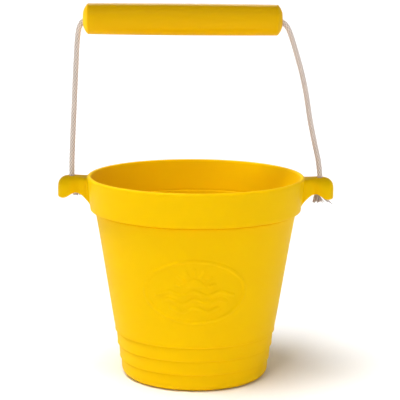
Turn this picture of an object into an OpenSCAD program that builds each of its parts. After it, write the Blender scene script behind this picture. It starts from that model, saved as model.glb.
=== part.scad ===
// Sand bucket: a one-piece soft moulded bucket with two hooded ears, and a rope
// handle that runs from a knot under one ear, through a loose round grip, to a
// knot under the other ear.
// Millimetres. +Z is up, the bucket stands on z = 0, and the ears lie along X.

/* [Bucket] */
// Outer diameter at the top of the rim
rim_d = 150; // [130:1:170]
// Height from the ground to the top of the rim
bucket_h = 140; // [125:1:160]
// Wall thickness
wall = 3; // [2.4:0.1:3.4]
// Outer radius of the body just under the rim band
body_top_r = 69.1; // [60:0.1:70]
// Outer radius of the body at its uppermost ring
body_ring_r = 55.6; // [50:0.1:58]
// Radius of the rounded bottom edge
base_round = 6; // [4:0.5:8]
// Thickness of the floor
floor_t = 4; // [3:0.1:6]

/* [Rim band] */
// Height of the thick band round the rim
band_h = 23.4; // [18:0.1:30]
// How much the band narrows from its top to its bottom, on the radius
band_taper = 2.4; // [1:0.1:4]

/* [Rings] */
// Number of stepped rings above the base
ring_count = 3; // [1:1:3]
// Height of the lowest ring's edge
ring_low_z = 12.7; // [12:0.1:16]
// Distance from one ring to the next
ring_pitch = 9.8; // [8:0.1:11]
// Depth of each ring's step
ring_step = 0.8; // [0.4:0.1:1.2]

/* [Emblem] */
// Width of the raised oval on the front
emblem_w = 68; // [40:1:72]
// Height of the raised oval
emblem_h = 45; // [30:1:48]
// Height of the oval's middle above the ground
emblem_z = 72; // [66:1:76]
// How far the emblem stands out of the wall
emblem_relief = 0.6; // [0.3:0.1:1]

/* [Ears] */
// Distance from the bucket's axis to the outer end of an ear
ear_reach = 95.2; // [92:0.1:98]
// Width of an ear
ear_w = 21; // [19:0.5:24]
// Wall thickness of an ear's hood
ear_wall = 2.6; // [2:0.1:3]
// Distance from the bucket's axis to the rope's hole
hole_x = 85.4; // [84:0.1:86]
// Diameter of the rope's hole
hole_d = 4.6; // [4.4:0.1:5]

/* [Rope] */
// Diameter of the rope
rope_d = 3.8; // [3:0.1:4]
// Width of each knot
knot_d = 10; // [8:0.5:11]
// Length of the frayed rope under the left knot
left_fray_l = 2.6; // [1:0.1:3]
// Length of the frayed rope under the right knot
right_fray_l = 7; // [1:0.1:8]

/* [Grip] */
// Length of the grip over its domed ends
grip_l = 135; // [125:0.1:138]
// Diameter of the grip at its middle
grip_d = 21.6; // [18:0.1:24]
// Diameter of the grip where its domed ends begin
grip_end_d = 20.9; // [17:0.1:22]
// Length of each domed end
grip_dome = 3.6; // [2:0.1:5]
// Diameter of the bore that the rope runs through
grip_bore_d = 6; // [5.6:0.1:7]
// Diameter of the flared mouth at each end of the bore
grip_mouth_d = 8.8; // [8.6:0.1:10]

/* [Hidden] */

rim_r = rim_d / 2;
band_z = bucket_h - band_h;
band_foot_r = rim_r - band_taper;
body_slope = (body_top_r - body_ring_r) / (band_z - top_ring_z());
ring_slope = 0.09;         // taper of the wall between two rings
foot_ring_w = 8;           // width of the ring that the bucket stands on
foot_recess = 1;           // depth of the recess inside that ring
lip_round = wall * 0.48;   // rounding of the rim's lip
band_foot_round = 1;       // rounding of the band's lower edge
inner_round = 5;           // rounding between the floor and the wall, inside
ledge_w = 0.6;             // width of the fine ledge inside, level with the band's foot
arc_steps = 6;             // straight pieces in each rounded corner

ear_top_z = bucket_h - 1;
ear_lip_z = bucket_h - 15.6;    // lowest point of the hood's outer lip
ear_arch_z = bucket_h - 12.2;   // top of the arch in the hood's side walls
ear_root_z = bucket_h - 18;     // where the hood runs into the band
ear_root_x = rim_r - wall + 0.3;
ear_top_round = 7.5;            // rounding of the outer top corner, from the side
ear_side_round = 5;             // rounding of the top's long edges
ear_plan_round = 7;             // rounding of the outer corners, from above
roof_z = ear_top_z - ear_wall;  // underside of the hood's top

grip_x = -9.6;             // the grip hangs off centre on its rope
grip_z = 246.7;
dome_fullness = 1.3;       // 1 makes each domed end a plain cap, 2 makes it half an oval
rope_steps = 2;            // tube rings from one point of the route to the next
rope_sides = 8;
knot_h = 7.5;              // height of each knot
knot_gap = 0.2;            // gap between a knot and the underside of its ear's top
knot_top = roof_z - knot_gap;

yellow = [0.95, 0.74, 0.02];
cotton = [0.85, 0.77, 0.70];

// The rope's line in the plane of the ears, from the left knot to the right one.
// The first and last bend_points of it lie in and just above the ears.
rope_route = [
    [-85.4, knot_top], [-85.4, 138.4], [-85.4, 140.6], [-85.3, 150.0],
    [-84.8, 161.0], [-84.2, 174.0], [-83.4, 190.0], [-82.6, 206.0],
    [-81.9, 219.0], [-81.3, 229.0], [-80.6, 236.0], [-79.6, 241.0],
    [-77.4, 244.6], [-73.5, 246.1], [-60.0, 246.2], [-40.0, 246.2],
    [-16.0, 246.2], [8.0, 246.2], [32.0, 246.2], [44.0, 246.2],
    [54.0, 246.2], [58.2, 245.2], [60.8, 242.6], [63.0, 238.4],
    [65.8, 230.4], [68.6, 221.4], [72.0, 209.4], [74.9, 196.4],
    [77.7, 180.0], [80.2, 168.0], [81.9, 160.6], [84.2, 150.4],
    [85.4, 140.6], [85.4, 138.4], [85.4, knot_top]
];
bend_points = 5;
route_end = len(rope_route) - 1;

function top_ring_z() = ring_low_z + (ring_count - 1) * ring_pitch;

// Points along an arc about a centre, from angle a0 to a1.
function arc(centre, r, a0, a1, steps = arc_steps) =
    [for (i = [0:steps]) let (a = a0 + (a1 - a0) * i / steps) centre + r * [cos(a), sin(a)]];

// Outer radius of the smooth body above the rings.
function body_r(z) = body_ring_r + (z - top_ring_z()) * body_slope;

// Outer radius just above the edge of ring i, counted from the top one.
function ring_edge_r(i) = body_ring_r - i * (ring_step + ring_slope * ring_pitch);

// ---- Bucket ----

// The stepped rings, from the lowest edge to the highest.
function ring_points() = [
    for (i = [ring_count - 1:-1:0])
        let (z = top_ring_z() - i * ring_pitch)
            for (p = [[ring_edge_r(i) - ring_step, z - ring_step / 2], [ring_edge_r(i), z]]) p
];

function outer_points() =
    let (
        lowest_r = ring_edge_r(ring_count - 1) - ring_step,
        foot_r = lowest_r - ring_slope * (ring_low_z - base_round)
    )
    concat(
        [[0, foot_recess]],
        [[foot_r - base_round - foot_ring_w, foot_recess]],
        [[foot_r - base_round - foot_ring_w + foot_recess, 0]],
        arc([foot_r - base_round, base_round], base_round, -90, 0),
        ring_points(),
        [[body_top_r, band_z]],
        arc([band_foot_r - band_foot_round, band_z + band_foot_round], band_foot_round, -90, 0),
        arc([rim_r - lip_round, bucket_h - lip_round], lip_round, 0, 90)
    );

function inner_points() =
    let (
        ledge_z = band_z + wall * 0.8,
        floor_r = body_r(floor_t) - wall
    )
    concat(
        arc([rim_r - wall + lip_round, bucket_h - lip_round], lip_round, 90, 180),
        [[body_r(ledge_z) - wall + ledge_w, ledge_z]],
        [[body_r(ledge_z) - wall, ledge_z]],
        arc([floor_r - inner_round + 1, floor_t + inner_round], inner_round, 0, -90),
        [[0, floor_t]]
    );

module bucket_shell() {
    rotate_extrude($fn = 128)
        polygon(concat(outer_points(), inner_points()));
}

// An ear's outline from the side: X outwards, Y up.
module ear_side() {
    polygon(concat(
        [[ear_root_x, ear_top_z - 0.8]],
        arc([ear_reach - ear_top_round, ear_top_z - ear_top_round], ear_top_round, 90, 0),
        arc([ear_reach - 2, ear_lip_z + 2], 2, 0, -90, 3),
        [[ear_reach - 5, ear_lip_z + 0.7]],
        [[ear_reach - 8.4, ear_arch_z - 0.2]],
        [[ear_reach - 14, ear_arch_z]],
        [[rim_r + 0.5, ear_arch_z - 4.6]],
        [[ear_root_x, ear_root_z]]
    ));
}

// An ear's outline from above: X outwards, Y across.
module ear_plan(half_w, reach, round_r) {
    polygon(concat(
        [[ear_root_x, -half_w]],
        arc([reach - round_r, -half_w + round_r], round_r, -90, 0),
        arc([reach - round_r, half_w - round_r], round_r, 0, 90),
        [[ear_root_x, half_w]]
    ));
}

// An ear's section across its width: X across, Y up.
module ear_section() {
    half_w = ear_w / 2;
    polygon(concat(
        [[-half_w, ear_root_z - 1]],
        [[half_w, ear_root_z - 1]],
        arc([half_w - ear_side_round, ear_top_z - ear_side_round], ear_side_round, 0, 90),
        arc([ear_side_round - half_w, ear_top_z - ear_side_round], ear_side_round, 90, 180)
    ));
}

// The hollow under an ear, where the knot sits.
module ear_hollow() {
    translate([0, 0, ear_root_z - 1])
        linear_extrude(roof_z - ear_root_z + 1)
            difference() {
                ear_plan(ear_w / 2 - ear_wall, ear_reach - ear_wall, ear_plan_round - ear_wall);
                circle(r = rim_r + 0.2, $fn = 128);
            }
}

module ear() {
    difference() {
        intersection() {
            rotate([90, 0, 0])
                linear_extrude(ear_w, center = true)
                    ear_side();
            translate([0, 0, ear_root_z - 1])
                linear_extrude(bucket_h - ear_root_z + 1)
                    ear_plan(ear_w / 2, ear_reach, ear_plan_round);
            rotate([90, 0, 90])
                linear_extrude(ear_reach + 1)
                    ear_section();
        }
        ear_hollow();
        translate([hole_x, 0, ear_lip_z])
            cylinder(d = hole_d, h = bucket_h - ear_lip_z + 1, $fn = 48);
    }
}

// A raised wave across the emblem, as wide as the oval's inside at that height.
module wave(y, half_l) {
    wave_w = 2.2;
    swing = 1.6;
    steps = 24;
    function wave_y(i, side) = y + side * wave_w / 2 + swing * cos(720 * i / steps);
    function wave_x(i) = half_l * (2 * i / steps - 1);
    polygon(concat(
        [for (i = [0:steps]) [wave_x(i), wave_y(i, 1)]],
        [for (i = [steps:-1:0]) [wave_x(i), wave_y(i, -1)]]
    ));
}

module oval(w, h, steps = 48) {
    polygon([for (i = [0:steps - 1]) [w / 2 * cos(360 * i / steps), h / 2 * sin(360 * i / steps)]]);
}

// The emblem's outline: a low sun over three waves in an oval ring.
module emblem_outline() {
    ring_w = 2;
    difference() {
        oval(emblem_w, emblem_h);
        oval(emblem_w - 2 * ring_w, emblem_h - 2 * ring_w);
    }
    difference() {
        translate([0, emblem_h * 0.06])
            circle(r = emblem_h * 0.21, $fn = 48);
        translate([-emblem_w / 2, -emblem_h])
            square([emblem_w, emblem_h * 1.08]);
    }
    for (i = [0:2])
        wave(-emblem_h * (0.02 + 0.13 * i), emblem_w * (0.36 - 0.06 * i));
}

// The emblem stands out of the front wall and follows its curve.
module emblem() {
    low_z = emblem_z - emblem_h / 2 - 1;
    high_z = emblem_z + emblem_h / 2 + 1;
    sunk = 1;
    intersection() {
        rotate_extrude($fn = 128)
            polygon([
                [body_r(low_z) - sunk, low_z],
                [body_r(low_z) + emblem_relief, low_z],
                [body_r(high_z) + emblem_relief, high_z],
                [body_r(high_z) - sunk, high_z]
            ]);
        translate([0, 0, emblem_z])
            rotate([90, 0, 0])
                linear_extrude(rim_r)
                    emblem_outline();
    }
}

module bucket() {
    color(yellow)
        union() {
            bucket_shell();
            emblem();
            ear();
            mirror([1, 0, 0])
                ear();
        }
}

// ---- Grip ----

// The barrel's outline swells by a parabola from its ends to its middle.
function barrel_points(steps = 10) = [
    for (i = [0:steps])
        let (
            t = 2 * i / steps - 1,
            half_l = grip_l / 2 - grip_dome
        )
        [grip_end_d / 2 + (grip_d - grip_end_d) / 2 * (1 - t * t), t * half_l]
];

// A domed end, from the barrel to the flared mouth, for the upper end (side 1) or the lower (-1).
function dome_points(side) = [
    for (i = [1:arc_steps])
        let (
            t = i / arc_steps,
            end_r = grip_end_d / 2,
            mouth_r = grip_mouth_d / 2
        )
        [
            sqrt(end_r ^ 2 - (end_r ^ 2 - mouth_r ^ 2) * t ^ dome_fullness),
            side * (grip_l / 2 - grip_dome + grip_dome * t)
        ]
];

module grip_profile() {
    mouth_l = (grip_mouth_d - grip_bore_d) * 1.5;
    bore_r = grip_bore_d / 2;
    polygon(concat(
        barrel_points(),
        dome_points(1),
        [[bore_r, grip_l / 2 - mouth_l]],
        [[bore_r, -grip_l / 2 + mouth_l]],
        [for (i = [arc_steps - 1:-1:0]) dome_points(-1)[i]]
    ));
}

module grip() {
    color(yellow)
        translate([grip_x, 0, grip_z])
            rotate([0, 90, 0])
                rotate_extrude($fn = 64)
                    grip_profile();
}

// ---- Rope ----

// The route's point i, with the end points repeated past both ends.
function route_point(i) = rope_route[min(max(i, 0), route_end)];

// A smooth curve through the route: place u = 2.5 lies halfway between points 2 and 3.
function rope_at(u) =
    let (
        i = min(floor(u), route_end - 1),
        t = u - i,
        a = route_point(i - 1),
        b = route_point(i),
        c = route_point(i + 1),
        d = route_point(i + 2)
    )
    (2 * b + (c - a) * t + (2 * a - 5 * b + 4 * c - d) * t * t + (3 * b - a - 3 * c + d) * t * t * t) / 2;

function rope_direction(u) =
    let (
        step = 0.02,
        d = rope_at(min(u + step, route_end)) - rope_at(max(u - step, 0))
    )
    d / norm(d);

// One ring of the tube: its points turn about the rope's line.
function rope_ring(u) =
    let (
        p = rope_at(u),
        d = rope_direction(u)
    )
    [
        for (k = [0:rope_sides - 1])
            let (
                a = 360 * (k + 0.5) / rope_sides,
                out = rope_d / 2 * cos(a)
            )
            [p[0] - d[1] * out, rope_d / 2 * sin(a), p[1] + d[0] * out]
    ];

// The tube from place u0 to place u1 of the route.
module rope_tube(u0, u1) {
    rings = (u1 - u0) * rope_steps;
    points = [for (i = [0:rings]) each rope_ring(u0 + i / rope_steps)];
    sides = [
        for (i = [0:rings - 1], k = [0:rope_sides - 1])
            let (
                a = i * rope_sides + k,
                b = i * rope_sides + (k + 1) % rope_sides
            )
            each [[a, b, b + rope_sides], [a, b + rope_sides, a + rope_sides]]
    ];
    near_end = [for (k = [rope_sides - 1:-1:0]) k];
    far_end = [for (k = [0:rope_sides - 1]) rings * rope_sides + k];
    color(cotton)
        polyhedron(points, concat(sides, [near_end, far_end]));
}

module rope_span() {
    rope_tube(bend_points - 1, route_end - bend_points + 1);
}

module left_rope_bend() {
    rope_tube(0, bend_points - 1);
}

module right_rope_bend() {
    rope_tube(route_end - bend_points + 1, route_end);
}

// A knot under the left ear (side -1) or the right one (side 1).
module knot(side) {
    color(cotton)
        translate([side * hole_x, 0, knot_top - knot_h])
            rotate_extrude($fn = 32)
                polygon(concat(
                    [[0, 0]],
                    arc([knot_d / 2 - 2.5, 2.5], 2.5, -90, 0, 4),
                    arc([knot_d / 2 - 2.5, knot_h - 2.5], 2.5, 0, 90, 4),
                    [[0, knot_h]]
                ));
}

// The frayed rope under a knot, as one plain cone.
module frayed_end(side, fray_l) {
    color(cotton)
        translate([side * hole_x, 0, knot_top - knot_h - fray_l])
            cylinder(d1 = rope_d * 1.6, d2 = rope_d, h = fray_l, $fn = 32);
}

bucket();
grip();
rope_span();
left_rope_bend();
right_rope_bend();
knot(-1);  // left_knot
knot(1);  // right_knot
frayed_end(-1, left_fray_l);  // left_frayed_end
frayed_end(1, right_fray_l);  // right_frayed_end
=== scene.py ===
import math

import bpy
import numpy as np
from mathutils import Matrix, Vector


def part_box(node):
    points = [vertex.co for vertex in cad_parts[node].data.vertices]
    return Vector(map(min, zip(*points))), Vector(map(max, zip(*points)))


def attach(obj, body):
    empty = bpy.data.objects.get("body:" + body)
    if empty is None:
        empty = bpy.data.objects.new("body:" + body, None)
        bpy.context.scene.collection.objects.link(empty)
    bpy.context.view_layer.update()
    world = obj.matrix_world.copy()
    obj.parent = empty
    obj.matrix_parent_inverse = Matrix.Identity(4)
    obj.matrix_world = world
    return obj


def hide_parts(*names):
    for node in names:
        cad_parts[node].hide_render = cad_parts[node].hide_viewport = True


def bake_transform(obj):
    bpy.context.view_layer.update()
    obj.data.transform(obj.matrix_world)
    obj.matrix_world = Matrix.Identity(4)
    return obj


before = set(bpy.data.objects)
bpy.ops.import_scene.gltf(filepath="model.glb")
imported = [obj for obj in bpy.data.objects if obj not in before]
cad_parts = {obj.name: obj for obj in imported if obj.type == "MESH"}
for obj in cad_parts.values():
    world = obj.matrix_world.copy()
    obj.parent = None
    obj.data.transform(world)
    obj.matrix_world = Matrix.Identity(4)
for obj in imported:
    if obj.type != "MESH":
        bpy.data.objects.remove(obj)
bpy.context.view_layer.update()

# Shapes are worked out in millimetres, and to_mesh() turns them into metres.
MM = 0.001


# ---- Sizes, from the frame where it has them ----

bucket_high = np.array(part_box("bucket")[1]) / MM
grip_low, grip_high = (np.array(corner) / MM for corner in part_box("grip"))

HEIGHT = bucket_high[2]
RIM_R = bucket_high[1]
EAR_REACH = bucket_high[0]
WALL = 3.0
LIP_R = WALL / 2             # the rim's lip is fully round
BAND_Z = HEIGHT - 23.4       # lower edge of the thick band round the rim
BAND_FOOT_R = RIM_R - 2.4
BODY_TOP_R = RIM_R - 5.9     # the wall's outer radius just under the band
RING_COUNT = 3
RING_LOW_Z = 12.7
RING_PITCH = 9.8
RING_STEP = 0.8
RING_SLOPE = 0.09
TOP_RING_Z = RING_LOW_Z + (RING_COUNT - 1) * RING_PITCH
BODY_RING_R = RIM_R - 19.4   # the wall's outer radius at the top ring
BASE_ROUND = 6.0
FLOOR_T = 4.0

EMBLEM_Z = 72.0
EMBLEM_HALF_W = 34.0
EMBLEM_HALF_H = 22.5
EMBLEM_RELIEF = 0.5

HOLE_X = 85.4
HOLE_R = 2.3
EAR_HALF_W = 10.5
EAR_WALL = 2.6
EAR_NOSE_R = 8.5             # how round the hood's outer end is, seen from the front
EAR_CORNER_R = 9.0           # and its corners, seen from above
EAR_TOP = HEIGHT - 1.0
KNOT_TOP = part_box("left_knot")[1][2] / MM
KNOT_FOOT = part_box("left_knot")[0][2] / MM

ROPE_R = 1.9


# ---- Mesh helpers ----

def to_mesh(name, points, faces, material):
    """A mesh object with smooth shading, from points in millimetres."""
    mesh = bpy.data.meshes.new(name)
    mesh.from_pydata((np.asarray(points, float) * MM).tolist(), [], faces)
    mesh.validate()
    mesh.polygons.foreach_set("use_smooth", [True] * len(mesh.polygons))
    mesh.materials.append(material)
    piece = bpy.data.objects.new(name, mesh)
    bpy.context.scene.collection.objects.link(piece)
    return piece


def grid_faces(rows, columns):
    """Quads between the rows of a grid of points, with each row closed on itself."""
    faces = []
    for i in range(rows - 1):
        for j in range(columns):
            k = (j + 1) % columns
            a, b = i * columns, (i + 1) * columns
            faces.append((a + j, a + k, b + k, b + j))
    return faces


ARC_STEP = 0.35    # distance between the points of a rounded corner


def rounded(corners):
    """An outline through corners (x, y, radius), with each corner rounded by an arc of its radius."""
    outline = []
    last = len(corners) - 1
    for i, (x, y, radius) in enumerate(corners):
        here = np.array([x, y])
        if radius == 0 or i in (0, last):
            outline.append(here)
            continue
        back = np.array(corners[i - 1][:2]) - here
        on = np.array(corners[i + 1][:2]) - here
        back /= np.linalg.norm(back)
        on /= np.linalg.norm(on)
        half = math.acos(np.clip(back @ on, -1, 1)) / 2
        middle = (back + on) / np.linalg.norm(back + on)
        centre = here + middle * radius / math.sin(half)
        start = here + back * radius / math.tan(half) - centre
        turn = math.pi - 2 * half
        if back[1] * on[0] - back[0] * on[1] < 0:
            turn = -turn
        steps = max(3, math.ceil(abs(turn) * radius / ARC_STEP))
        for k in range(steps + 1):
            a = turn * k / steps
            c, s = math.cos(a), math.sin(a)
            outline.append(centre + (start[0] * c - start[1] * s, start[0] * s + start[1] * c))
    return outline


def divided(outline, longest):
    """The outline with each stretch cut into steps no longer than longest(its middle)."""
    points = [outline[0]]
    for a, b in zip(outline, outline[1:]):
        steps = max(1, math.ceil(np.linalg.norm(b - a) / longest((a + b) / 2)))
        points += [a + (b - a) * k / steps for k in range(1, steps + 1)]
    return np.array(points)


def smoothstep(low, high, x):
    """0 at low, 1 at high, and a soft climb between them."""
    t = np.clip((x - low) / (high - low), 0, 1)
    return t * t * (3 - 2 * t)


def smooth_min(a, b, k):
    """The lower of a and b, rounded where they cross, over a width of k."""
    h = np.clip(0.5 + 0.5 * (b - a) / k, 0, 1)
    return b * (1 - h) + a * h - k * h * (1 - h)


def smooth_max(a, b, k):
    return -smooth_min(-a, -b, k)


# ---- Materials ----

def node(tree, kind, inputs=None, **settings):
    """A shader node, whose inputs are values or the outputs of other nodes."""
    made = tree.nodes.new("ShaderNode" + kind)
    for name, value in settings.items():
        setattr(made, name, value)
    for name, value in (inputs or {}).items():
        socket = made.inputs[name]
        if isinstance(value, bpy.types.NodeSocket):
            tree.links.new(value, socket)
        else:
            socket.default_value = value
    return made


def new_material(name):
    material = bpy.data.materials.new(name)
    material.use_nodes = True
    material.node_tree.nodes.clear()
    return material, material.node_tree


def silicone(name, light, deep, gloss):
    """Satin moulded silicone: a soft drift of colour, an uneven sheen and a very fine grain."""
    material, tree = new_material(name)
    place = node(tree, "TexCoord").outputs["Object"]
    drift = node(tree, "TexNoise", {"Vector": place, "Scale": 22.0, "Detail": 3.0, "Roughness": 0.5})
    grain = node(tree, "TexNoise", {"Vector": place, "Scale": 1500.0, "Detail": 2.0, "Roughness": 0.6})
    waves = node(tree, "TexNoise", {"Vector": place, "Scale": 60.0, "Detail": 2.0, "Roughness": 0.5})
    colour = node(tree, "Mix", {"Factor": drift.outputs["Fac"], "A": light, "B": deep}, data_type="RGBA")
    sheen = node(tree, "MapRange", {"Value": waves.outputs["Fac"], "To Min": 0.40, "To Max": 0.51})
    fine = node(tree, "Bump", {"Height": grain.outputs["Fac"], "Strength": 0.10, "Distance": 0.00008})
    bump = node(tree, "Bump", {"Height": waves.outputs["Fac"], "Strength": 0.12, "Distance": 0.0006,
                               "Normal": fine.outputs["Normal"]})
    shader = node(tree, "BsdfPrincipled", {
        "Base Color": colour.outputs["Result"], "Roughness": sheen.outputs["Result"],
        "Normal": bump.outputs["Normal"], "IOR": 1.41, "Specular IOR Level": gloss,
        "Subsurface Weight": 0.1, "Subsurface Radius": (1.0, 0.5, 0.05), "Subsurface Scale": 0.002})
    output = node(tree, "OutputMaterial")
    tree.links.new(shader.outputs["BSDF"], output.inputs["Surface"])
    return material


def cotton(name):
    """Undyed braided cotton: pale raised strands, painted shade in the grooves between them, and fine
    fibres.
    """
    material, tree = new_material(name)
    place = node(tree, "TexCoord").outputs["Object"]
    depth = node(tree, "Attribute", attribute_name="strand_height").outputs["Fac"]
    fibre = node(tree, "TexNoise", {"Vector": place, "Scale": 3200.0, "Detail": 3.0, "Roughness": 0.7})
    stain = node(tree, "TexNoise", {"Vector": place, "Scale": 130.0, "Detail": 2.0, "Roughness": 0.5})
    lit = node(tree, "Mix", {"Factor": stain.outputs["Fac"], "A": (0.93, 0.81, 0.73, 1),
                             "B": (0.84, 0.72, 0.64, 1)}, data_type="RGBA")
    # Painted shade: where strand_height is low, in the grooves, the colour is mixed toward a dark brown.
    groove = node(tree, "MapRange", {"Value": depth, "From Min": 0.15, "From Max": 0.8})
    colour = node(tree, "Mix", {"Factor": groove.outputs["Result"], "A": (0.24, 0.18, 0.15, 1),
                                "B": lit.outputs["Result"]}, data_type="RGBA")
    fuzz = node(tree, "Mix", {"Factor": fibre.outputs["Fac"], "A": (0.82, 0.82, 0.82, 1),
                              "B": (1.12, 1.12, 1.12, 1)}, data_type="RGBA")
    tint = node(tree, "Mix", {"Factor": 0.8, "A": colour.outputs["Result"], "B": fuzz.outputs["Result"]},
                data_type="RGBA", blend_type="MULTIPLY")
    bump = node(tree, "Bump", {"Height": fibre.outputs["Fac"], "Strength": 0.5, "Distance": 0.0001})
    shader = node(tree, "BsdfPrincipled", {
        "Base Color": tint.outputs["Result"], "Roughness": 0.92, "Normal": bump.outputs["Normal"],
        "Specular IOR Level": 0.2, "Sheen Weight": 0.3, "Sheen Roughness": 0.6})
    output = node(tree, "OutputMaterial")
    tree.links.new(shader.outputs["BSDF"], output.inputs["Surface"])
    return material


def plain_floor():
    material = bpy.data.materials.new("floor_white")
    material.use_nodes = True
    shader = material.node_tree.nodes["Principled BSDF"]
    shader.inputs["Base Color"].default_value = (0.97, 0.97, 0.97, 1)
    shader.inputs["Roughness"].default_value = 0.9
    shader.inputs["Specular IOR Level"].default_value = 0.0
    return material


BUCKET_SILICONE = silicone("bucket_surface",
                           light=(0.93, 0.568, 0.0004, 1), deep=(0.91, 0.545, 0.0003, 1), gloss=0.04)
GRIP_SILICONE = silicone("grip_surface",
                         light=(0.84, 0.48, 0.0004, 1), deep=(0.81, 0.45, 0.0003, 1), gloss=0.08)
COTTON = cotton("rope_surface")


# ---- Camera ----

CAMERA_PLACE = (0.003, -1.020, 0.308)
CAMERA_DIP = 10.3      # degrees that it looks down
CAMERA_ROLL = 0.45     # degrees that it is turned about its line of sight
CAMERA_LENS = 135
CAMERA_SENSOR = 36


def add_camera():
    camera = bpy.data.objects.new("camera", bpy.data.cameras.new("camera"))
    camera.location = CAMERA_PLACE
    camera.rotation_mode = "ZYX"
    camera.rotation_euler = (math.radians(90 - CAMERA_DIP), 0, math.radians(CAMERA_ROLL))
    camera.data.lens = CAMERA_LENS
    camera.data.sensor_width = CAMERA_SENSOR
    bpy.context.scene.collection.objects.link(camera)
    bpy.context.scene.camera = camera


add_camera()


# ---- Rope ----

# The rope's line in the plane of the ears, from the left knot to the right one.
ROPE_ROUTE = [
    (-85.4, KNOT_TOP), (-85.4, 138.4), (-85.4, 140.6), (-85.3, 150.0),
    (-84.8, 161.0), (-84.2, 174.0), (-83.4, 190.0), (-82.6, 206.0),
    (-81.9, 219.0), (-81.3, 229.0), (-80.6, 236.0), (-79.6, 241.0),
    (-77.4, 244.6), (-73.5, 246.1), (-60.0, 246.2), (-40.0, 246.2),
    (-16.0, 246.2), (8.0, 246.2), (32.0, 246.2), (44.0, 246.2),
    (54.0, 246.2), (58.2, 245.2), (60.8, 242.6), (63.0, 238.4),
    (65.8, 230.4), (68.6, 221.4), (72.0, 209.4), (74.9, 196.4),
    (77.7, 180.0), (80.2, 168.0), (81.9, 160.6), (84.2, 150.4),
    (85.4, 140.6), (85.4, 138.4), (85.4, KNOT_TOP),
]


SPLINE_STEPS = 24    # points worked out between each two of a route's points


def curve_through(points, step):
    """Points about step apart along the smooth curve through points."""
    points = np.array(points, float)
    padded = np.vstack([points[:1], points, points[-1:]])
    a, b, c, d = (padded[i:len(points) - 1 + i, None] for i in range(4))
    t = np.linspace(0, 1, SPLINE_STEPS, endpoint=False)[None, :, None]
    bend = (2 * a - 5 * b + 4 * c - d) * t**2 + (3 * b - a - 3 * c + d) * t**3
    curve = (2 * b + (c - a) * t + bend) / 2
    return evenly(np.vstack([curve.reshape(-1, points.shape[1]), points[-1:]]), step)


def evenly(line, step):
    """The line again, as points the same distance apart, as near to step as its length allows."""
    along = np.concatenate([[0], np.cumsum(np.linalg.norm(np.diff(line, axis=0), axis=1))])
    places = np.linspace(0, along[-1], max(2, round(along[-1] / step) + 1))
    return np.stack([np.interp(places, along, line[:, k]) for k in range(line.shape[1])], axis=1)


def frames_along(line):
    """Two directions across the line at each of its points, turning as little as they can."""
    ahead = np.gradient(line, axis=0)
    ahead /= np.linalg.norm(ahead, axis=1)[:, None]
    start = np.array([0.0, 1.0, 0.0])
    across = []
    for direction in ahead:
        start = start - direction * (start @ direction)
        start /= np.linalg.norm(start)
        across.append(start)
    across = np.array(across)
    return across, np.cross(ahead, across)


STRANDS = 6          # strands of the braid that turn each way
BRAID_PITCH = 17.0   # length in which a strand goes once round
BRAID_DEPTH = 0.42   # depth of the grooves between strands
STRAND_CROWN = 0.62  # shares of that depth: a strand's round top,
WEAVE_RISE = 0.30    # its rise where it crosses over another,
YARN_RIPPLE = 0.05   # and the yarns laid side by side in it
STRAND_BLEND = 0.12


def braid_height(angle, along):
    """Height of the braid's surface, 0 to 1: two sets of strands that cross over and under each other."""
    turn = STRANDS * angle / (2 * math.pi)
    travel = STRANDS * along / BRAID_PITCH
    right, left = turn + travel, turn - travel
    over = np.where((np.floor(right) + np.floor(left)) % 2 < 1, 1.0, -1.0)

    def strand(place, crossing, side):
        across = 2 * (place - np.floor(place)) - 1
        rise = side * over * np.sin(math.pi * (crossing - np.floor(crossing)))
        crown = np.sqrt(np.clip(1 - across**2, 0, 1))
        yarns = np.cos(3 * math.pi * across)
        return crown * STRAND_CROWN + rise * WEAVE_RISE - yarns * YARN_RIPPLE

    height = smooth_max(strand(right, left, 1), strand(left, right, -1), STRAND_BLEND)
    return np.clip(height, 0, 1)


END_HEIGHT = 0.3     # the braid's height in the middle of a cut end, which sets how much painted shade it gets


def braided_rope(name, line, radius, sides):
    """A closed rope along a line of evenly spaced points, with its braid as real relief."""
    across, up = frames_along(line)
    angle = np.linspace(0, 2 * math.pi, sides, endpoint=False)[None, :]
    along = np.concatenate([[0], np.cumsum(np.linalg.norm(np.diff(line, axis=0), axis=1))])[:, None]
    height = braid_height(angle, along)
    reach = radius - BRAID_DEPTH * (1 - height)
    ring = across[:, None] * np.cos(angle)[..., None] + up[:, None] * np.sin(angle)[..., None]
    points = (line[:, None] + ring * reach[..., None]).reshape(-1, 3)
    count = len(line)
    faces = grid_faces(count, sides)
    ends = np.array([line[0], line[-1]])
    points = np.vstack([points, ends])
    first, last = count * sides, count * sides + 1
    foot = (count - 1) * sides
    for j in range(sides):
        k = (j + 1) % sides
        faces.append((first, k, j))
        faces.append((last, foot + j, foot + k))
    piece = to_mesh(name, points, faces, COTTON)
    store_height(piece, np.concatenate([height.reshape(-1), [END_HEIGHT] * 2]))
    return piece


def store_height(piece, values):
    """Keeps how far each point stands out of the rope's grooves, for the material, which paints shade where
    it is low.
    """
    layer = piece.data.attributes.new("strand_height", "FLOAT", "POINT")
    layer.data.foreach_set("value", np.asarray(values, np.float32))


ROPE_STEP = 0.25     # distance between the rope's rings of points
ROPE_SIDES = 60
INTO_KNOT = 2.0      # how far the rope's ends run on into the knots


def add_rope():
    route = np.array([(x, 0.0, z) for x, z in ROPE_ROUTE])
    route[[0, -1], 2] -= INTO_KNOT
    line = curve_through(route, ROPE_STEP)
    rope = braided_rope("rope", line, ROPE_R, ROPE_SIDES)
    length = np.linalg.norm(np.diff(line, axis=0), axis=1).sum()
    return rope, line, length


rope, rope_line, rope_length = add_rope()


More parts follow.
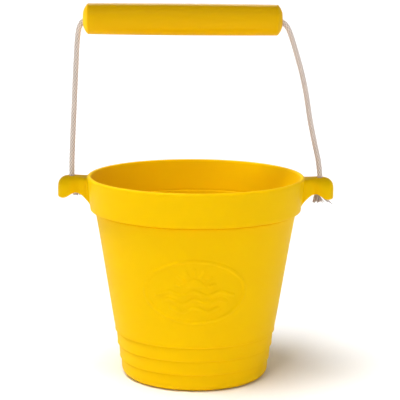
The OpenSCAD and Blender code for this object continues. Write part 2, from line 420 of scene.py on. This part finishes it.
KNOT_POINTS = 90
KNOT_SPAN = 2.15               # how much of the knot's curve is used, each way from its middle
KNOT_SIZE = (1.7, 1.5, 0.5)    # millimetres to one unit of that curve
AXIS_FROM = 1.75               # past this, the curve's ends draw in to the hole's axis
AXIS_OVER = 0.4                # over this much of the curve
KNOT_ROUNDS = 500
KNOT_CLEAR = 2.6               # stretches this many radii apart along the rope push each other away
KNOT_PUSH = 0.16               # share of an overlap that one round pushes apart
KNOT_PULL = 0.35               # share of a bend that one round pulls straight
KNOT_LINE_R = 1.75             # the rope's radius while its knot is drawn tight
KNOT_ROPE_R = 1.78
KNOT_STEP = 0.28
KNOT_SIDES = 48
ROOM_INWARD, ROOM_OUTWARD, ROOM_SIDEWAYS = 6.6, 6.2, 7.7    # free space round the hole's axis


def relaxed_knot(side, tail):
    """An overhand knot under an ear: its line is drawn tight, without passing through itself or the ear."""
    t = np.linspace(KNOT_SPAN, -KNOT_SPAN, KNOT_POINTS)
    line = np.stack([t**3 - 3 * t, t**4 - 4 * t**2 + 1.5, t**5 - 10 * t], axis=1) * KNOT_SIZE
    to_axis = np.clip((np.abs(t) - AXIS_FROM) / AXIS_OVER, 0, 1)[:, None]
    line[:, :2] *= 1 - to_axis
    line[:, 2] += (KNOT_TOP + KNOT_FOOT) / 2
    line[0] = (0, 0, KNOT_TOP)
    line[-1] = (*tail, KNOT_FOOT - 0.8)
    low = np.array([-ROOM_INWARD, -ROOM_SIDEWAYS, KNOT_FOOT - 1.0]) + KNOT_LINE_R
    high = np.array([ROOM_OUTWARD, ROOM_SIDEWAYS, EAR_TOP - EAR_WALL + 0.2]) - KNOT_LINE_R
    order = np.arange(KNOT_POINTS)
    apart = np.abs(order[:, None] - order[None, :])
    free = (order >= 2) & (order <= KNOT_POINTS - 3)
    for _ in range(KNOT_ROUNDS):
        gap = line[:, None] - line[None, :]
        distance = np.linalg.norm(gap, axis=2) + 1e-9
        segment = np.linalg.norm(np.diff(line, axis=0), axis=1).mean()
        near = (apart * segment > KNOT_CLEAR * KNOT_LINE_R) & (distance < 2 * KNOT_LINE_R)
        push = np.where(near, (2 * KNOT_LINE_R - distance) / distance, 0)[..., None] * gap
        move = push.sum(axis=1) * KNOT_PUSH
        move[1:-1] += (line[:-2] + line[2:] - 2 * line[1:-1]) * KNOT_PULL
        line[free] = np.clip(line[free] + move[free], low, high)
    line[:, 0] = side * (HOLE_X + line[:, 0])
    for _ in range(3):
        line[1:-1] = (line[:-2] + 2 * line[1:-1] + line[2:]) / 4
    return evenly(line, KNOT_STEP)


def add_knot(name, side, tail):
    line = relaxed_knot(side, tail)
    return braided_rope(name, line, KNOT_ROPE_R, KNOT_SIDES), line


GOLDEN_TURN = 2 * math.pi * 0.381966    # spreads the yarns evenly over the rope's cut end
BUNDLE_R = 1.45                         # radius of the bundle of yarns where it leaves the rope
YARN_SIDES = 7
YARN_STEP = 0.35
YARN_ROOT = 1.2                         # how far up inside the rope's end each yarn starts
YARN_START_R = (0.30, 0.42)             # ranges that each yarn's thickness and painted shade are drawn from; a low height paints a yarn darker
YARN_END_R = (0.16, 0.28)
YARN_SHADE_HEIGHT = (0.22, 0.62)


def yarn(line, start_r, end_r):
    """The points and faces of one thin closed yarn along a line."""
    across, up = frames_along(line)
    angle = np.linspace(0, 2 * math.pi, YARN_SIDES, endpoint=False)[None, :]
    radius = np.linspace(start_r, end_r, len(line))[:, None, None]
    ring = across[:, None] * np.cos(angle)[..., None] + up[:, None] * np.sin(angle)[..., None]
    points = (line[:, None] + ring * radius).reshape(-1, 3)
    faces = grid_faces(len(line), YARN_SIDES)
    faces.append(tuple(reversed(range(YARN_SIDES))))
    faces.append(tuple(range(len(points) - YARN_SIDES, len(points))))
    return points, faces


def add_frayed_end(name, root, reach, splay, count, seed, stray=()):
    """Loose yarns that spread downwards from the rope's cut end, and stray ones that end at given points."""
    draw = np.random.default_rng(seed)
    points, faces, shade_heights = [], [], []
    total = 0
    for i in range(count + len(stray)):
        turn = i * GOLDEN_TURN
        out = BUNDLE_R * math.sqrt((i + 0.5) / count) if i < count else 1.0
        start = root + (out * math.cos(turn), out * math.sin(turn), YARN_ROOT)
        lean = np.array([math.cos(turn), math.sin(turn), 0]) * splay * out / BUNDLE_R
        end = start + lean + (0, 0, -YARN_ROOT - reach * draw.uniform(0.72, 1.0))
        end[:2] += draw.normal(0, 0.25, 2)
        if i >= count:
            end = np.array(stray[i - count], float)
        bow = draw.normal(0, 0.3, 3) * (1, 1, 0.3)
        near_root = start * 0.6 + end * 0.4 + bow
        near_tip = start * 0.25 + end * 0.75 + bow * 0.6
        line = curve_through([start, near_root, near_tip, end], YARN_STEP)
        part, part_faces = yarn(line, draw.uniform(*YARN_START_R), draw.uniform(*YARN_END_R))
        faces += [tuple(v + total for v in face) for face in part_faces]
        total += len(part)
        points.append(part)
        # Painted shade: each yarn gets one drawn strand height, and the low ones darken it as if in the
        # shadow under the ear.
        shade_heights += [draw.uniform(*YARN_SHADE_HEIGHT)] * len(part)
    piece = to_mesh(name, np.vstack(points), faces, COTTON)
    store_height(piece, shade_heights)
    return piece


# Where each knot lets its tail out, from the hole's axis, and where the stray yarns of the right one end.
LEFT_TAIL, RIGHT_TAIL = (-3.4, -0.6), (-1.6, -0.8)
STRAY_TIPS = [(94.7, -3.2, 120.9), (93.4, -2.6, 122.0), (91.2, -4.0, 122.4), (89.0, -3.6, 122.2),
              (87.4, -2.8, 121.6)]

left_knot, left_knot_line = add_knot("left_knot_rope", -1, LEFT_TAIL)
right_knot, right_knot_line = add_knot("right_knot_rope", 1, RIGHT_TAIL)
left_fray = add_frayed_end("left_frayed_yarns", left_knot_line[-1],
                           reach=2.4, splay=1.3, count=30, seed=11)
right_fray = add_frayed_end("right_frayed_yarns", right_knot_line[-1],
                            reach=6.4, splay=1.6, count=38, seed=23, stray=STRAY_TIPS)


# ---- Bucket ----

def body_r(z):
    """Outer radius of the smooth wall between the rings and the band."""
    return BODY_RING_R + (z - TOP_RING_Z) * (BODY_TOP_R - BODY_RING_R) / (BAND_Z - TOP_RING_Z)


def bucket_outline():
    """The wall's section from the middle of the base, over the rim, to the middle of the floor."""
    recess, recess_r = 1.0, 36.8    # the recess in the ring that the bucket stands on
    bead, groove = 0.2, 0.35        # each ring's edge stands out a little, over a fine groove
    above, below = 1.6, 1.4         # how far up and down from the edge they fade out
    fine_r = 0.22
    corners = [(0, recess, 0), (recess_r, recess, 0.8), (recess_r + recess, 0, 0.6)]
    edge_r = [BODY_RING_R - i * (RING_STEP + RING_SLOPE * RING_PITCH) for i in range(RING_COUNT)]
    foot_r = edge_r[-1] - RING_STEP - RING_SLOPE * (RING_LOW_Z - BASE_ROUND)
    corners.append((foot_r, 0, BASE_ROUND))
    for i in reversed(range(RING_COUNT)):
        z = TOP_RING_Z - i * RING_PITCH
        under_r = edge_r[i] - RING_STEP
        corners.append((under_r - RING_SLOPE * below, z - below, 0.4))
        corners.append((under_r - groove, z - 0.5, fine_r))
        corners.append((edge_r[i] + bead, z, fine_r))
        corners.append((edge_r[i] + RING_SLOPE * above, z + above, 0.8))
    # The groove under the band, the band's foot, and the round lip.
    corners += [
        (BODY_TOP_R, BAND_Z - 1.5, 0.5),
        (BODY_TOP_R - 1.7, BAND_Z + 0.7, 0.5),
        (BAND_FOOT_R, BAND_Z, 0.7),
        (RIM_R, HEIGHT, LIP_R * 0.999),
        (RIM_R - WALL, HEIGHT, LIP_R * 0.999),
    ]
    # The fine ledge inside, with its small groove, then the wall and the floor.
    ledge_z = BAND_Z + 2.4
    inner_r = body_r(ledge_z) - WALL
    corners += [
        (inner_r + 0.7, ledge_z, 0.25),
        (inner_r + 0.9, ledge_z - 0.9, 0.3),
        (inner_r - 0.2, ledge_z - 1.4, 0.3),
        (body_r(FLOOR_T) - WALL, FLOOR_T, 6.0),
        (0, FLOOR_T, 0),
    ]
    return rounded(corners)


def oval_distance(x, y, half_w, half_h):
    """Distance from an oval, negative inside it, and true close to its edge."""
    q = np.sqrt((x / half_w) ** 2 + (y / half_h) ** 2) + 1e-9
    slope = np.sqrt((x / half_w**2) ** 2 + (y / half_h**2) ** 2) / q + 1e-9
    return (q - 1) / slope


def bar_distance(x, y, a, b):
    """Distance from a straight stroke between points a and b."""
    ax, ay, bx, by = *a, *b
    t = np.clip(((x - ax) * (bx - ax) + (y - ay) * (by - ay)) / ((bx - ax) ** 2 + (by - ay) ** 2), 0, 1)
    return np.hypot(x - ax - t * (bx - ax), y - ay - t * (by - ay))


RING_HALF_W = 1.0                  # half the width of the emblem's oval ring
SUN_Y, SUN_R = 2.2, 7.0
SUN_CUT = 1.4                      # the sun is cut off level, this far above its centre
RAY_COUNT = 7
RAY_FROM, RAY_TO = 9.8, 13.6       # distances from the sun's centre
RAY_HALF_W = 0.8
WAVE_COUNT = 3
WAVE_TOP_Y, WAVE_GAP = -1.2, 5.6
WAVE_LENGTH, WAVE_SWING = 17, 1.5
WAVE_HALF_W = 1.05
RELIEF_EDGE = 0.35                 # half the width of the relief's slopes


def emblem_height(x, y):
    """The emblem's relief, 0 to 1: a rising sun over three waves, in an oval ring."""
    oval = oval_distance(x, y, EMBLEM_HALF_W - RING_HALF_W, EMBLEM_HALF_H - RING_HALF_W)
    sun = np.maximum(np.hypot(x, y - SUN_Y) - SUN_R, SUN_Y + SUN_CUT - y)
    shape = np.minimum(np.abs(oval) - RING_HALF_W, sun)
    for i in range(RAY_COUNT):
        a = math.pi * (i + 0.5) / RAY_COUNT
        start, end = ((reach * math.cos(a), SUN_Y + reach * math.sin(a)) for reach in (RAY_FROM, RAY_TO))
        shape = np.minimum(shape, bar_distance(x, y, start, end) - RAY_HALF_W)
    phase = 2 * math.pi * x / WAVE_LENGTH
    slope = WAVE_SWING * 2 * math.pi / WAVE_LENGTH * np.sin(phase)
    for i in range(WAVE_COUNT):
        half_l = EMBLEM_HALF_W * (0.74 - 0.14 * i)
        level = WAVE_TOP_Y - WAVE_GAP * i
        line = np.abs(y - level - WAVE_SWING * np.cos(phase)) / np.sqrt(1 + slope**2)
        wave = np.hypot(line, np.maximum(np.abs(x) - half_l, 0)) - WAVE_HALF_W
        shape = np.minimum(shape, wave)
    return smoothstep(RELIEF_EDGE, -RELIEF_EDGE, shape)


FINE_STEP = 0.42        # distance between the shell's points on and round the emblem
COARSE_STEP = 2.5       # the longest step anywhere else along its section
COARSE_COLUMNS = 200    # columns of points round the rest of the wall
EMBLEM_MARGIN = 1


def add_bucket_shell():
    """The bucket without its ears, with the emblem's relief raised out of its front wall."""
    fine_half_h = EMBLEM_HALF_H + EMBLEM_MARGIN

    def row_step(point):
        on_emblem = abs(point[1] - EMBLEM_Z) < fine_half_h and point[0] > body_r(point[1]) - 1
        return FINE_STEP if on_emblem else COARSE_STEP

    corners = bucket_outline()
    outline = []
    for a, b in zip(corners, corners[1:]):
        outline.append(a)
        is_front_wall = a[1] < EMBLEM_Z - fine_half_h and EMBLEM_Z + fine_half_h < b[1] < BAND_Z
        if is_front_wall:
            outline += [np.array([body_r(z), z]) for z in (EMBLEM_Z - fine_half_h, EMBLEM_Z + fine_half_h)]
    outline.append(corners[-1])
    section = divided(outline, row_step)[1:-1]
    half_angle = math.asin((EMBLEM_HALF_W + EMBLEM_MARGIN) / body_r(EMBLEM_Z))
    front = np.linspace(-half_angle, half_angle, round(2 * half_angle * body_r(EMBLEM_Z) / FINE_STEP))
    rest = np.linspace(half_angle, 2 * math.pi - half_angle, COARSE_COLUMNS)[1:-1]
    angle = np.concatenate([front, rest]) - math.pi / 2
    r, z = section[:, :1], section[:, 1:]
    outer = np.arange(len(section)) < np.argmax(section[:, 1])
    x = r * np.cos(angle)
    lift = emblem_height(x, z - EMBLEM_Z) * EMBLEM_RELIEF
    lift[:, len(front):] = 0
    lift[~(outer & (np.abs(section[:, 1] - EMBLEM_Z) < fine_half_h))] = 0
    r = r + lift
    points = np.stack([r * np.cos(angle), r * np.sin(angle), np.broadcast_to(z, r.shape)], axis=2)
    rows, columns = r.shape
    faces = grid_faces(rows, columns)
    points = np.vstack([points.reshape(-1, 3), [(0, 0, section[0, 1]), (0, 0, FLOOR_T)]])
    base, floor = rows * columns, rows * columns + 1
    for j in range(columns):
        k = (j + 1) % columns
        faces.append((base, k, j))
        faces.append((floor, (rows - 1) * columns + j, (rows - 1) * columns + k))
    return to_mesh("bucket_shell", points, faces, BUCKET_SILICONE)


def band_distance(x, y, z):
    """Distance from the rim band's wall, whose section is a stretch with a round end at the lip."""
    foot_r = BAND_FOOT_R - LIP_R
    lean, rise = RIM_R - LIP_R - 0.1 - foot_r, HEIGHT - LIP_R - BAND_Z
    out, up = np.hypot(x, y) - foot_r, z - BAND_Z
    t = np.clip((out * lean + up * rise) / (lean**2 + rise**2), 0, 1)
    return np.hypot(out - t * lean, up - t * rise) - LIP_R


def ear_distance(x, y, z):
    """Distance from the right ear: a hood, open below, with the rope's hole, blended into the band."""
    # Each smoothstep() gives the place along X or Z where a change starts, and the place where it ends.
    # The hood's top dips towards the rim, and its sides draw in to a waist between the rim and the hole.
    dip, waist, flare = 0.9, 2.0, 1.5
    crown = EAR_TOP + 0.4 - dip * smoothstep(84, 74, x)
    half_w = EAR_HALF_W - waist * smoothstep(87, 80, x) + flare * smoothstep(79.5, 75, x)
    past_side = np.abs(y) - half_w
    hood = smooth_max(z - crown, x - EAR_REACH, EAR_NOSE_R)
    hood = smooth_max(hood, past_side, 4.0 + 6.0 * smoothstep(76, 90, x))
    corner_x = np.maximum(x - EAR_REACH + EAR_CORNER_R, 0)
    corner_y = np.maximum(past_side + EAR_CORNER_R, 0)
    hood = smooth_max(hood, np.hypot(corner_x, corner_y) - EAR_CORNER_R, 1.0)
    # The lower edge is an arch: it comes down beyond the hole, and it runs down to the band.
    arch_top, nose_drop, root_drop = HEIGHT - 11.4, 4.0, 4.4
    to_root = np.clip(83 - x, 0, None) / 7.5
    arch = arch_top - nose_drop * smoothstep(82, 91.5, x) - root_drop * to_root**1.8
    shell = smooth_max(hood, -(hood + EAR_WALL), 0.6)
    shell = smooth_max(shell, arch - z, 1.6)
    hole = np.hypot(x - HOLE_X, y) - HOLE_R
    shell = smooth_max(shell, -hole, 0.8)
    # The fillet to the band is fullest halfway down the ear.
    fillet = 1.0 + smoothstep(EAR_TOP - 1, EAR_TOP - 8, z) * smoothstep(HEIGHT - 17.5, HEIGHT - 11.5, z)
    return smooth_min(shell, band_distance(x, y, z) + 0.05, fillet)


EAR_ROOT_HALF_W, EAR_ROOT_H = 17.0, 21.0    # the patch of the band that the ear's root covers


def ear_solid(x, y, z):
    """The ear, cut off inside the band's wall, where the bucket's own surface hides the cut."""
    ear = ear_distance(x, y, z)
    r = np.hypot(x, y)
    middle = BAND_FOOT_R - LIP_R + (RIM_R - BAND_FOOT_R) * (z - BAND_Z) / (HEIGHT - BAND_Z)
    cut = np.maximum.reduce([middle - r, np.abs(y) - EAR_ROOT_HALF_W, HEIGHT - EAR_ROOT_H - z])
    return np.maximum(ear, cut)


def surface_net(distance, low, high, step):
    """The surface where distance is zero, as quads through the cells of a grid."""
    axes = [np.arange(a, b + step, step) for a, b in zip(low, high)]
    grid = np.meshgrid(*axes, indexing="ij")
    value = distance(*grid)
    inside = value < 0
    shape = [n - 1 for n in value.shape]

    def corner(array, i, j, k):
        return array[i:i + shape[0], j:j + shape[1], k:k + shape[2]]

    corners = [(i, j, k) for i in (0, 1) for j in (0, 1) for k in (0, 1)]
    total = np.zeros((*shape, 3))
    crossings = np.zeros(shape)
    for a in corners:
        for axis in range(3):
            if a[axis]:
                continue
            b = tuple(n + (m == axis) for m, n in enumerate(a))
            va, vb = corner(value, *a), corner(value, *b)
            crossed = (va < 0) != (vb < 0)
            t = np.where(crossed, va / np.where(crossed, va - vb, 1), 0)
            for m in range(3):
                pa, pb = corner(grid[m], *a), corner(grid[m], *b)
                total[..., m] += np.where(crossed, pa + t * (pb - pa), 0)
            crossings += crossed
    used = crossings > 0
    number = np.full(shape, -1)
    number[used] = np.arange(used.sum())
    points = total[used] / crossings[used][:, None]
    faces = []
    for axis in range(3):
        u, v = (axis + 1) % 3, (axis + 2) % 3
        lower = [slice(1, -1)] * 3
        lower[axis] = slice(0, -1)
        upper = list(lower)
        upper[axis] = slice(1, None)
        first, second = inside[tuple(lower)], inside[tuple(upper)]
        changed = np.argwhere(first != second)
        starts = inside[tuple(lower)][tuple(changed.T)]
        changed[:, u] += 1
        changed[:, v] += 1
        around = []
        for du, dv in ((0, 0), (-1, 0), (-1, -1), (0, -1)):
            cell = changed.copy()
            cell[:, u] += du
            cell[:, v] += dv
            around.append(number[tuple(cell.T)])
        around = np.stack(around, axis=1)
        around[~starts] = around[~starts][:, ::-1]
        faces.append(around)
    return points, np.vstack(faces)


def settle_on(distance, points):
    """Moves points along the slope of distance until they lie where it is zero."""
    tiny = 0.02
    for _ in range(4):
        value = distance(*points.T)
        rises = [distance(*(points + step).T) - distance(*(points - step).T) for step in tiny * np.eye(3)]
        slope = np.stack(rises, axis=1) / (2 * tiny)
        size = np.maximum((slope**2).sum(axis=1), 0.05)
        points = points - np.clip(value / size, -0.3, 0.3)[:, None] * slope
    return points


EAR_STEP = 0.45    # distance between the ears' points


def add_ears():
    low, high = (68.7, -18.2, HEIGHT - 22.0), (96.4, 18.2, HEIGHT + 1.0)
    points, faces = surface_net(ear_solid, low, high, EAR_STEP)
    points = settle_on(ear_solid, points)
    right = to_mesh("right_ear", points, faces.tolist(), BUCKET_SILICONE)
    left = to_mesh("left_ear", points * (-1, 1, 1), faces[:, ::-1].tolist(), BUCKET_SILICONE)
    return left, right


bucket_shell = add_bucket_shell()
left_ear, right_ear = add_ears()


# ---- Grip ----

GRIP_SWELL = 0.35        # how much thicker the grip is in the middle than at its ends, in radius
GRIP_DOME = 3.6          # length of each domed end
DOME_FULLNESS = 1.3      # 1 makes each domed end a plain cap, 2 makes it half an oval
BORE_R, MOUTH_R = 3.0, 4.4
MOUTH_L = 4.2            # depth at which the bore's flared mouth has narrowed to the bore
GRIP_SIDES = 144
GRIP_STEP = 2.6
BARREL_STEPS, DOME_STEPS = 48, 40


def add_grip():
    centre = (grip_low + grip_high) / 2
    half_l = (grip_high[0] - grip_low[0]) / 2
    middle_r = (grip_high[2] - grip_low[2]) / 2
    end_r = middle_r - GRIP_SWELL
    barrel_l = half_l - GRIP_DOME
    barrel = np.linspace(-1, 1, BARREL_STEPS + 1)
    swell = [(barrel_l * t, end_r + GRIP_SWELL * (1 - t**2)) for t in barrel]
    tip = []
    for t in (np.arange(1, DOME_STEPS + 1) / DOME_STEPS) ** 1.5:
        r = math.sqrt(end_r**2 - (end_r**2 - MOUTH_R**2) * t**DOME_FULLNESS)
        tip.append((barrel_l + GRIP_DOME * t, r))
    bore_start, bore_inside = (half_l - MOUTH_L, BORE_R, 1.5), (half_l - 9, BORE_R, 0)
    mouth = rounded([(*tip[-4], 0), (*tip[-1], 0.6), bore_start, bore_inside])
    tip = tip[:-4] + [tuple(p) for p in mouth]
    outline = swell + tip + [(0.0, BORE_R)] + [(-x, r) for x, r in reversed(tip)]
    section = divided([np.array(p) for p in outline + outline[:1]], lambda point: GRIP_STEP)[:-1]
    rows = len(section)
    angle = np.linspace(0, 2 * math.pi, GRIP_SIDES, endpoint=False)
    x, r = section[:, :1], section[:, 1:]
    x = np.broadcast_to(x, (rows, GRIP_SIDES))
    points = np.stack([x, r * np.cos(angle), r * np.sin(angle)], axis=2)
    # The section closes on itself, so the last row's faces go back to the first row.
    faces = [tuple(v % (rows * GRIP_SIDES) for v in face) for face in grid_faces(rows + 1, GRIP_SIDES)]
    return to_mesh("grip_barrel", points.reshape(-1, 3) + centre, faces, GRIP_SILICONE)


grip_barrel = add_grip()


# ---- What each piece replaces and moves with ----

for piece in (bucket_shell, left_ear, right_ear):
    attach(piece, "bucket")
    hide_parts("bucket")
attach(grip_barrel, "grip")
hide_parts("grip")
for side_name, knot, fray in (("left", left_knot, left_fray), ("right", right_knot, right_fray)):
    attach(knot, "bucket")
    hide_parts(f"{side_name}_knot")
    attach(fray, "bucket")
    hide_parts(f"{side_name}_frayed_end")

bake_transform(rope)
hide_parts("rope_span", "left_rope_bend", "right_rope_bend")


# ---- Floor and light ----

def add_floor():
    mesh = bpy.data.meshes.new("floor")
    half = 12    # metres
    corners = [(-half, -half, 0), (half, -half, 0), (half, half, 0), (-half, half, 0)]
    mesh.from_pydata(corners, [], [(0, 1, 2, 3)])
    mesh.materials.append(plain_floor())
    floor = bpy.data.objects.new("floor", mesh)
    bpy.context.scene.collection.objects.link(floor)
    return floor


def add_lamp(name, light, direction, only_on):
    """Makes a light shine from a direction, and on some objects alone if only_on lists any."""
    lamp = bpy.data.objects.new(name, light)
    lamp.rotation_euler = Vector(direction).to_track_quat("Z", "Y").to_euler()
    bpy.context.scene.collection.objects.link(lamp)
    if only_on:
        lit = bpy.data.collections.new(name + "_lit")
        for piece in only_on:
            lit.objects.link(piece)
        lamp.light_linking.receiver_collection = lit
    return lamp


def add_softbox(name, location, target, size, power, only_on=()):
    """A round lamp of a size in metres and a power in watts, aimed at target."""
    light = bpy.data.lights.new(name, "AREA")
    light.shape = "DISK"
    light.size = size
    light.energy = power
    lamp = add_lamp(name, light, Vector(location) - Vector(target), only_on)
    lamp.location = location


def add_sun(name, direction, softness, strength, only_on=()):
    """Light from one direction, whose shadows get softer with its softness in degrees."""
    light = bpy.data.lights.new(name, "SUN")
    light.angle = math.radians(softness)
    light.energy = strength
    add_lamp(name, light, direction, only_on)


def add_world(sides, ceiling):
    """A light tent with a strength for its sides and another for its ceiling."""
    world = bpy.data.worlds.new("studio")
    world.use_nodes = True
    tree = world.node_tree
    place = node(tree, "TexCoord").outputs["Generated"]
    direction = node(tree, "SeparateXYZ", {"Vector": place}).outputs
    height = node(tree, "MapRange", {"Value": direction["Z"], "From Min": 0.4, "From Max": 0.9,
                                     "To Min": sides, "To Max": ceiling}, interpolation_type="SMOOTHSTEP")
    tree.links.new(height.outputs["Result"], tree.nodes["Background"].inputs["Strength"])
    tree.nodes["Background"].inputs["Color"].default_value = (1, 1, 1, 1)
    bpy.context.scene.world = world


floor = add_floor()
add_world(sides=0.50, ceiling=0.26)
add_sun("floor_key", direction=(-0.36, -0.28, 1.5), softness=36, strength=2.6, only_on=[floor])
add_sun("key", direction=(-0.2, -0.95, 1.15), softness=10, strength=0.40)
add_sun("side", direction=(-0.8, 0.35, 1.2), softness=10, strength=1.30, only_on=[bucket_shell])
add_softbox("top", location=(-0.45, -0.45, 1.6), target=(0, 0, 0.12), size=0.3, power=12.0,
            only_on=[bucket_shell])
add_sun("grip_end", direction=(-1.0, -0.05, 0.1), softness=10, strength=2.2, only_on=[grip_barrel])
add_sun("grip_top", direction=(0, 1.0, 0.6), softness=10, strength=1.1, only_on=[grip_barrel])
bpy.context.scene.view_settings.view_transform = "Standard"
